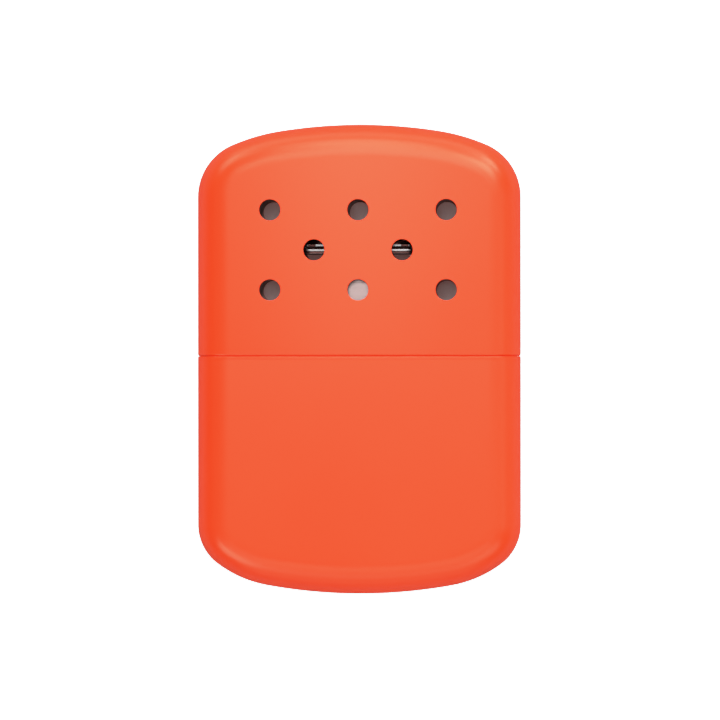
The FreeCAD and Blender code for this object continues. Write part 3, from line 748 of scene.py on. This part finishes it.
# A flanged oval tube with a full round rim, drawn as one closed section and carried round.
def makeFillerNeck():
    low, high = boxOf("filler_neck")
    middle = (low.z + high.z) / 2
    width, depth = neckForm["tube"]
    wall, flange, plate = neckForm["wall"], neckForm["flange"], neckForm["flangeThickness"]
    reachX, rim = (width - depth) / 2, wall / 2
    outside = middle + depth / 2
    piece = penDown("fillerNeck", reachX, low.y, outside - wall)
    penLine(0, 0, wall + flange)
    penLine(0, plate)
    penLine(0, 0, -flange)
    penLine(0, high.y - low.y - plate - rim)
    penTurn((reachX, high.y - rim, outside - rim), -180, neckForm["rimSteps"], "X")
    closeLoop(piece)
    sweepRound(reachX, 0, middle, neckForm["endSteps"])
    closeEdit()
    pointOutwards(piece)
    smoothPiece(piece)
    dress(piece, brightPlate, "tank", "filler_neck", "plated_steel")


bridgeForm = {"width": 3.0, "thickness": 0.3, "bend": 0.6, "bendSteps": 8, "edgeBreak": 0.06}


# A strip bent to a U across the neck.
def makeNeckBridge():
    low, high = boxOf("neck_bridge")
    bend, half = bridgeForm["bend"], bridgeForm["width"] / 2
    arm = high.y - low.y - bend
    piece = penDown("neckBridge", -half, high.y, high.z)
    penLine(0, -arm)
    penTurn((0, low.y + bend, high.z - bend), 90, bridgeForm["bendSteps"], "X")
    penLine(0, 0, -(high.z - low.z - 2 * bend))
    penTurn((0, low.y + bend, low.z + bend), 90, bridgeForm["bendSteps"], "X")
    penLine(0, arm)
    bpy.ops.mesh.select_all(action="SELECT")
    penLine(2 * half)
    closeEdit()
    pointOutwards(piece)
    # The wall goes to the inner side, whichever way the strip's faces came out.
    lowest = min(piece.data.polygons, key=lambda face: face.center.y)
    side = -1 if lowest.normal.y < 0 else 1
    applyModifier(piece, "SOLIDIFY", thickness=bridgeForm["thickness"] * mm, offset=side)
    pointOutwards(piece)
    applyModifier(piece, "BEVEL", width=bridgeForm["edgeBreak"] * mm, segments=2, limit_method="ANGLE")
    smoothPiece(piece)
    dress(piece, brightPlate, "tank", "neck_bridge", "plated_steel")


softAngle = 80  # degrees; only sharper creases than this show on a soft piece


# Cuts a soft solid fine and makes it slightly uneven.
def fluff(piece, form):
    applyModifier(piece, "REMESH", mode="VOXEL", voxel_size=form["cell"] * mm)
    lumps = bpy.data.textures.new(f"{piece.name}Lumps", "CLOUDS")
    lumps.noise_scale = form["lumpSize"] * mm
    lumps.noise_depth = 2
    applyModifier(
        piece, "DISPLACE", texture=lumps, texture_coords="LOCAL", strength=form["lump"] * mm, mid_level=0.5,
    )


feltForm = {"edgeRound": 0.6, "cell": 0.35, "lump": 0.12, "lumpSize": 0.9}


def makeWoolPad():
    low, high = boxOf("wick_felt")
    inset = feltForm["lump"] / 2
    piece = roundPrism(
        "woolPad", 2 * (high.x - inset), high.z - low.z - 2 * inset, low.y + inset, high.y - inset,
    )
    roundEdges(piece, lambda a, b, edge: near(a.y, b.y), feltForm["edgeRound"])
    fluff(piece, feltForm)
    smoothPiece(piece, softAngle)
    dress(piece, woolFelt, "tank", "wick_felt", "felt")


makeCollarPan()
makeFillerNeck()
makeNeckBridge()
makeWoolPad()
print("collar and neck made")


skirtForm = {
    "outside": (28.0, 8.4),
    "wall": 0.4,
    "endSteps": 18,
    "topRound": 0.5,
    "topSteps": 6,
    "windowMargin": 0.45,
    "windowHeight": 3.0,
    "windowX": (1.2, 11.4),
    "windowRound": 0.5,
    "windowSteps": 5,
    "tongueHalf": 1.5,
    "tongueReach": 12.2,
    "trimFar": 20,  # blocks that cut the tongues and the windows free reach past the whole burner
    "hemOut": 0.3,
    "hemHeight": 0.9,
    "hemRound": 0.3,
    "hemSteps": 5,
}


# The burner's tube, drawn as a closed can and cut back to its windows and its two tongues.
def makeBurnerSkirt():
    low, high = boxOf("burner_skirt")
    middle = (low.z + high.z) / 2
    width, depth = skirtForm["outside"]
    reachX, outside, topRound = (width - depth) / 2, middle + depth / 2, skirtForm["topRound"]
    piece = penDown("burnerSkirt", reachX, low.y, outside)
    penLine(0, high.y - low.y - topRound)
    penTurn((reachX, high.y - topRound, outside - topRound), -90, skirtForm["topSteps"], "X")
    bpy.ops.mesh.select_all(action="SELECT")
    sweepRound(reachX, 0, middle, skirtForm["endSteps"])
    pickEdges(piece, lambda a, b, edge: near(a.y, high.y) and near(b.y, high.y) and edge.is_boundary)
    bpy.ops.mesh.edge_face_add()
    closeEdit()
    pointOutwards(piece)
    applyModifier(piece, "SOLIDIFY", thickness=skirtForm["wall"] * mm, offset=-1, use_even_offset=True)
    half, reach, far = skirtForm["tongueHalf"], skirtForm["tongueReach"], skirtForm["trimFar"]
    tray = boxOf("mat_tray")[0].y
    for corner, opposite in (
        ((-far, tray, middle + half), (far, far + tray, middle + far)),
        ((-far, tray, middle - far), (far, far + tray, middle - half)),
        ((-reach, tray, middle - far), (reach, far + tray, middle + far)),
    ):
        cutWith(piece, block("trim", corner, opposite))
    inner, outer = skirtForm["windowX"]
    windowTop = tray - skirtForm["windowMargin"]
    windowBottom = windowTop - skirtForm["windowHeight"]
    for left, right in ((inner, outer), (-outer, -inner)):
        window = block("window", (left, windowBottom, middle - far), (right, windowTop, middle + far))
        roundEdges(
            window, lambda a, b, edge: not near(a.z, b.z),
            skirtForm["windowRound"], skirtForm["windowSteps"],
        )
        cutWith(piece, window)
    cutWith(piece, makeHem(low.y, reachX, middle, depth / 2), "UNION")
    smoothPiece(piece)
    dress(piece, skirtPlate, "burner", "burner_skirt", "burner_steel")


# The rolled hem round the foot of the skirt.
def makeHem(bottom, reachX, middle, reach):
    wall, out, height = skirtForm["wall"], skirtForm["hemOut"], skirtForm["hemHeight"]
    bend, steps = skirtForm["hemRound"], skirtForm["hemSteps"]
    piece = penDown("hem", reachX, bottom, middle + reach - wall)
    penLine(0, 0, wall + out - bend)
    penTurn((reachX, bottom + bend, middle + reach + out - bend), -90, steps, "X")
    penLine(0, height - 2 * bend)
    penTurn((reachX, bottom + height - bend, middle + reach + out - bend), -90, steps, "X")
    penLine(0, 0, -(wall + out - bend))
    closeLoop(piece)
    sweepRound(reachX, 0, middle, skirtForm["endSteps"])
    closeEdit()
    pointOutwards(piece)
    return piece


headForm = {
    "plate": (29.2, 9.6),
    "plateSteps": 18,
    "plateThickness": 0.4,
    "edgeBreak": 0.15,
    "edgeSteps": 3,
    "slot": (1.7, 4.6),
    "slotRound": 0.4,
    "slotPitch": 2.6,
    "slotCount": 8,
    "slotLift": 0.1,  # the cover's slots start this much above its rim
    "tongueSlotX": (13.1, 14.1),
    "tongueSlotHalf": 1.6,
    "notchX": 9.65,
    "notch": (1.5, 0.9),
    "crown": (22.4, 6.6),
    "crownWall": 0.3,
    "crownRound": 0.5,
}


# The row of slots between the bars, punched with one tool.
def punchSlots(piece, bottom, top, middle):
    half, reach = (size / 2 for size in headForm["slot"])
    count, pitch = headForm["slotCount"], headForm["slotPitch"]
    centres = [(number - (count - 1) / 2) * pitch for number in range(count)]
    tool = joinPieces([
        block("slot", (x - half, bottom, middle - reach), (x + half, top, middle + reach)) for x in centres
    ])
    roundEdges(tool, lambda a, b, edge: not near(a.y, b.y), headForm["slotRound"])
    cutWith(piece, tool)


def punchTongueSlots(piece, bottom, top, middle):
    inner, outer = headForm["tongueSlotX"]
    half = headForm["tongueSlotHalf"]
    cutWith(piece, joinPieces([
        block("tongueSlot", (left, bottom, middle - half), (right, top, middle + half))
        for left, right in ((inner, outer), (-outer, -inner))
    ]))


def headPlate(name, bottom, top, middle):
    return roundPrism(name, *headForm["plate"], bottom, top, middle, steps=headForm["plateSteps"])


def finishHeadPlate(piece, material, node):
    width, steps = headForm["edgeBreak"] * mm, headForm["edgeSteps"]
    applyModifier(piece, "BEVEL", width=width, segments=steps, limit_method="ANGLE")
    smoothPiece(piece)
    dress(piece, material, "burner", node, "burner_steel")


def makeBurnerTray():
    low, high = boxOf("mat_tray")
    middle = (low.z + high.z) / 2
    piece = headPlate("burnerTray", low.y, high.y, middle)
    punchSlots(piece, low.y - overshoot, high.y + overshoot, middle)
    punchTongueSlots(piece, low.y - overshoot, high.y + overshoot, middle)
    finishHeadPlate(piece, trayPlate, "mat_tray")


# The upper plate: a notched rim round a pressed crown with a grille of bars.
def makeBurnerCover():
    low, high = boxOf("mat_cover")
    middle = (low.z + high.z) / 2
    rimTop = low.y + headForm["plateThickness"]
    crownWidth, crownDepth = headForm["crown"]
    wall = headForm["crownWall"]
    piece = headPlate("burnerCover", low.y, rimTop, middle)
    crown = roundPrism("crown", crownWidth, crownDepth, low.y, high.y, middle)
    roundEdges(crown, lambda a, b, edge: near(a.y, high.y) and near(b.y, high.y), headForm["crownRound"])
    cutWith(piece, crown, "UNION")
    hollow = roundPrism(
        "hollow", crownWidth - 2 * wall, crownDepth - 2 * wall, low.y - overshoot, high.y - wall, middle,
    )
    roundEdges(
        hollow, lambda a, b, edge: near(a.y, high.y - wall) and near(b.y, high.y - wall),
        headForm["crownRound"] - wall,
    )
    cutWith(piece, hollow)
    punchSlots(piece, rimTop + headForm["slotLift"], high.y + overshoot, middle)
    punchTongueSlots(piece, low.y - overshoot, high.y + overshoot, middle)
    width, depth = headForm["notch"]
    edge = headForm["plate"][1] / 2
    bottom, top = low.y - overshoot, rimTop + overshoot
    cutWith(piece, joinPieces([
        block("notch", (x - width / 2, bottom, z - depth), (x + width / 2, top, z + depth))
        for x in (-headForm["notchX"], headForm["notchX"])
        for z in (middle - edge, middle + edge)
    ]))
    finishHeadPlate(piece, coverPlate, "mat_cover")


gauzeForm = {"radius": 0.045, "wave": 0.05, "pitch": 0.8, "sides": 6, "creaseAngle": 60}


# One waved wire along X or Z, drawn out ring by ring. The phase says whether it starts high or low.
def waveWire(along, start, count, phase):
    pitch, wave = gauzeForm["pitch"], phase * gauzeForm["wave"]
    deselectAll()
    bpy.ops.mesh.primitive_circle_add(
        vertices=gauzeForm["sides"], radius=gauzeForm["radius"] * mm, fill_type="NGON",
        rotation=(0, math.pi / 2 if along == "X" else 0, 0),
        location=(start[0] * mm, (start[1] + wave) * mm, start[2] * mm),
    )
    piece = bpy.context.object
    settle(piece)
    openEdit(piece)
    bpy.ops.mesh.select_all(action="SELECT")
    for number in range(count):
        rise = 2 * wave if number % 2 else -2 * wave
        penLine(pitch if along == "X" else 0, rise, 0 if along == "X" else pitch)
    closeEdit()
    return piece


def copyPiece(piece, dx, dz):
    twin = piece.copy()
    twin.data = piece.data.copy()
    bpy.context.scene.collection.objects.link(twin)
    twin.location = (dx * mm, 0, dz * mm)
    settle(twin)
    return twin


# Woven wire gauze, trimmed to the outline of the mat. At each crossing one wire is high, one low.
def makeWireGauze():
    low, high = boxOf("mat_gauze")
    middle, level = (low.z + high.z) / 2, (low.y + high.y) / 2
    pitch = gauzeForm["pitch"]
    across, deep = math.ceil(high.x / pitch), math.ceil((high.z - middle) / pitch)
    wires = []
    for phase in (1, -1):
        alongX = waveWire("X", (-across * pitch, level, middle), 2 * across, phase * (-1) ** across)
        alongZ = waveWire("Z", (0, level, middle - deep * pitch), 2 * deep, -phase * (-1) ** deep)
        wires += [
            copyPiece(alongX, 0, step * pitch)
            for step in range(-deep, deep + 1) if (step % 2 == 0) == (phase == 1)
        ]
        wires += [
            copyPiece(alongZ, step * pitch, 0)
            for step in range(-across, across + 1) if (step % 2 == 0) == (phase == 1)
        ]
        for first in (alongX, alongZ):
            bpy.data.objects.remove(first)
    piece = joinPieces(wires)
    piece.name = piece.data.name = "wireGauze"
    pointOutwards(piece)
    cutWith(piece, roundPrism(
        "gauzeOutline", 2 * high.x, high.z - low.z, low.y - overshoot, high.y + overshoot, middle,
    ), "INTERSECT")
    smoothPiece(piece, gauzeForm["creaseAngle"])
    dress(piece, gauzeSteel, "burner", "mat_gauze", "gauze_wire")


matForm = {
    "sheet": 0.4,
    "crown": (21.5, 5.7),
    "crownRound": 0.5,
    "cell": 0.22,
    "lump": 0.10,
    "lumpSize": 0.5,
}


# A fibre mat, thin at its clamped edge and crowned in the middle.
def makeGlassMat():
    low, high = boxOf("catalyst_mat")
    middle = (low.z + high.z) / 2
    inset = matForm["lump"] / 2
    piece = roundPrism(
        "glassMat", 2 * (high.x - inset), high.z - low.z - 2 * inset,
        low.y + inset, low.y + matForm["sheet"] - inset, middle,
    )
    crown = roundPrism("matCrown", *matForm["crown"], low.y + inset, high.y - inset, middle)
    roundEdges(
        crown, lambda a, b, edge: near(a.y, high.y - inset) and near(b.y, high.y - inset),
        matForm["crownRound"],
    )
    cutWith(piece, crown, "UNION")
    fluff(piece, matForm)
    smoothPiece(piece, softAngle)
    dress(piece, glassFibre, "burner", "catalyst_mat", "glass_fibre")


makeBurnerSkirt()
makeBurnerTray()
makeWireGauze()
makeGlassMat()
makeBurnerCover()
print("burner made")


cottonForm = {
    "outline": {"crown": 98.0, "shoulder": 20.0, "corner": 8.0, "cornerTurn": 53.2},
    "sideGap": 1.0,
    "faceGap": 0.9,
    "edgeRound": 4.4,
    "edgeSteps": 6,
    "cell": 0.9,
    "lump": 0.5,
    "lumpSize": 6.0,
}


# Cotton that fills the tank: the tank's outline, drawn smaller, with round edges and a lumpy skin.
def makeCottonWad():
    low, high = boxOf("cotton_packing")
    inset = cottonForm["lump"] / 2
    bottom, top = low.z + cottonForm["faceGap"], high.z - cottonForm["faceGap"]
    side = high.x - cottonForm["sideGap"]
    piece = shellOutline("cottonWad", side, high.y - inset, low.y + inset, cottonForm["outline"], bottom)
    penLine(0, 0, top - bottom)
    closeEdit()
    pointOutwards(piece)
    roundEdges(
        piece, lambda a, b, edge: near(a.z, b.z), cottonForm["edgeRound"], cottonForm["edgeSteps"],
    )
    fluff(piece, cottonForm)
    smoothPiece(piece, softAngle)
    dress(piece, looseCotton, "tank", "cotton_packing", "cotton")


makeCottonWad()
print("cotton packed")


studio = {
    "cameraHeight": 740.0,  # above the front face
    "cameraAside": 28.7,
    "cameraRoll": -0.03,  # degrees
    "frameCentre": (0.427, -0.20),
    "frameWidth": 149.2,
    "filmWidth": 36.0,
    "floorSize": 6.0,  # metres
    "floorGrey": (0.86, 0.86, 0.86, 1),
    "floorGlow": 1.45,  # as the camera sees it
    "floorLight": 0.64,  # as it lights the object
    "mirroredFloor": (0.11, 0.11, 0.11, 1),
    "glowReach": 30.0,
    "glowRange": (0.2, 0.45),  # open sky at which the glow starts and at which it is full
    "glowSamples": 16,
    "underShadowBounce": (0.060, 0.029, 0.026, 1),  # painted reddish bounce light in the painted shadow under the object, where only light off its back arrives
    "airGlow": 0.10,
    "lightDistance": 1.1,  # metres
    # degrees from straight above towards +X and +Y, width and height in metres, power in watts
    "lights": {
        "streak": ((-2.5, 7), (0.12, 0.20), 0.62),
        "top15": ((0, 16), (0.60, 0.20), 2.15),
        "top30": ((-2, 30), (0.25, 0.30), 1.40),
        "top45": ((-2, 45), (0.40, 0.35), 2.03),
        "top60": ((0, 62), (1.60, 0.40), 1.40),
        "top75": ((0, 77), (1.40, 0.40), 3.20),
        "topRight": ((25, 30), (0.35, 0.35), 3.60),
        "farTopRight": ((50, 55), (0.40, 0.40), 3.36),
        "farTopLeft": ((-50, 55), (0.40, 0.40), 2.00),
        "right30": ((30, 0), (0.35, 0.90), 0.76),
        "right60": ((60, 0), (0.40, 1.00), 0.59),
        "left30": ((-30, 0), (0.35, 0.90), 0.17),
        "front20": ((0, -22), (0.70, 0.30), 1.25),
        "front45": ((0, -45), (0.90, 0.40), 1.55),
        "front70": ((0, -70), (1.00, 0.40), 0.96),
        "frontLeft": ((-35, -40), (0.40, 0.40), 2.10),
        "frontRight": ((35, -40), (0.40, 0.40), 0.96),
    },
    # brightness in and out: bright red stops short of full white, the glowing floor does not
    "shoulder": (
        (0, 0), (0.6, 0.6), (0.8, 0.81), (0.9, 0.86), (1.0, 0.88), (1.2, 0.90), (1.6, 0.915), (1.8, 1),
    ),
}


# A pale floor that glows evenly, except where something lies on it: there the glow gives way to painted
# shadow, with a dim painted reddish bounce light right under the object.
def makeFloor():
    deselectAll()
    bpy.ops.mesh.primitive_plane_add(size=studio["floorSize"], location=(0, 0, cadBox[0].z))
    floor = bpy.context.object
    floor.name = "floor"
    material, tree, shader = newMaterial("paleFloor", Roughness=0.9, Specular_IOR_Level=0.1)
    openSky = addNode(tree, "ShaderNodeAmbientOcclusion", samples=studio["glowSamples"])
    openSky.inputs["Distance"].default_value = studio["glowReach"] * mm
    openness = spread(tree, openSky.outputs["AO"], *studio["glowRange"])
    glow = mixColours(tree, openness, studio["underShadowBounce"], (1, 1, 1, 1))
    tree.links.new(glow, shader.inputs["Emission Color"])
    # The floor looks white, lights the object less than that, and is plain grey in gloss and metal.
    rays = addNode(tree, "ShaderNodeLightPath").outputs
    seen = calculate(tree, "MULTIPLY", rays["Is Camera Ray"], studio["floorGlow"])
    given = calculate(tree, "MULTIPLY", rays["Is Diffuse Ray"], studio["floorLight"])
    tree.links.new(calculate(tree, "ADD", seen, given), shader.inputs["Emission Strength"])
    plain = mixColours(tree, rays["Is Glossy Ray"], studio["floorGrey"], studio["mirroredFloor"])
    tree.links.new(plain, shader.inputs["Base Color"])
    material.cycles.emission_sampling = "NONE"
    floor.data.materials.append(material)
    settle(floor)


def makeCamera():
    front = cadBox[1].z
    x, y = (value * mm for value in studio["frameCentre"])
    camera = bpy.data.objects.new("camera", bpy.data.cameras.new("camera"))
    bpy.context.scene.collection.objects.link(camera)
    aside, height = studio["cameraAside"] * mm, studio["cameraHeight"] * mm
    camera.location = (x + aside, y, front + height)
    camera.rotation_euler = (0, math.atan2(aside, height), math.radians(studio["cameraRoll"]))
    camera.data.sensor_width = studio["filmWidth"]
    camera.data.lens = studio["filmWidth"] * math.hypot(aside, height) / (studio["frameWidth"] * mm)
    camera.data.clip_start, camera.data.clip_end = 0.01, 20
    bpy.context.scene.camera = camera


# A soft panel that looks at the middle of the object from a direction.
def softLight(name, direction, size, power):
    right, up = (math.tan(math.radians(angle)) for angle in direction)
    place = Vector((right, up, 1)).normalized() * studio["lightDistance"]
    data = bpy.data.lights.new(name, "AREA")
    data.shape = "RECTANGLE"
    data.size, data.size_y = size
    data.energy = power
    lamp = bpy.data.objects.new(name, data)
    bpy.context.scene.collection.objects.link(lamp)
    lamp.location = place
    lamp.rotation_euler = (-place).to_track_quat("-Z", "Y").to_euler()


def makeLights():
    for name, (direction, size, power) in studio["lights"].items():
        softLight(name, direction, size, power)
    world = bpy.context.scene.world = bpy.data.worlds.new("studioAir")
    world.use_nodes = True
    world.node_tree.nodes["Background"].inputs["Color"].default_value = (1, 1, 1, 1)
    world.node_tree.nodes["Background"].inputs["Strength"].default_value = studio["airGlow"]


# Plain display colours, with a soft shoulder above the paint's brightness.
def setFilm():
    view = bpy.context.scene.view_settings
    view.view_transform = "Standard"
    view.use_curve_mapping = True
    curve = view.curve_mapping
    curve.clip_max_x = studio["shoulder"][-1][0]
    points = curve.curves[3].points
    points[0].location, points[1].location = studio["shoulder"][0], studio["shoulder"][-1]
    for level in studio["shoulder"][1:-1]:
        points.new(*level)
    curve.update()


makeFloor()
makeCamera()
makeLights()
setFilm()
print("studio ready")
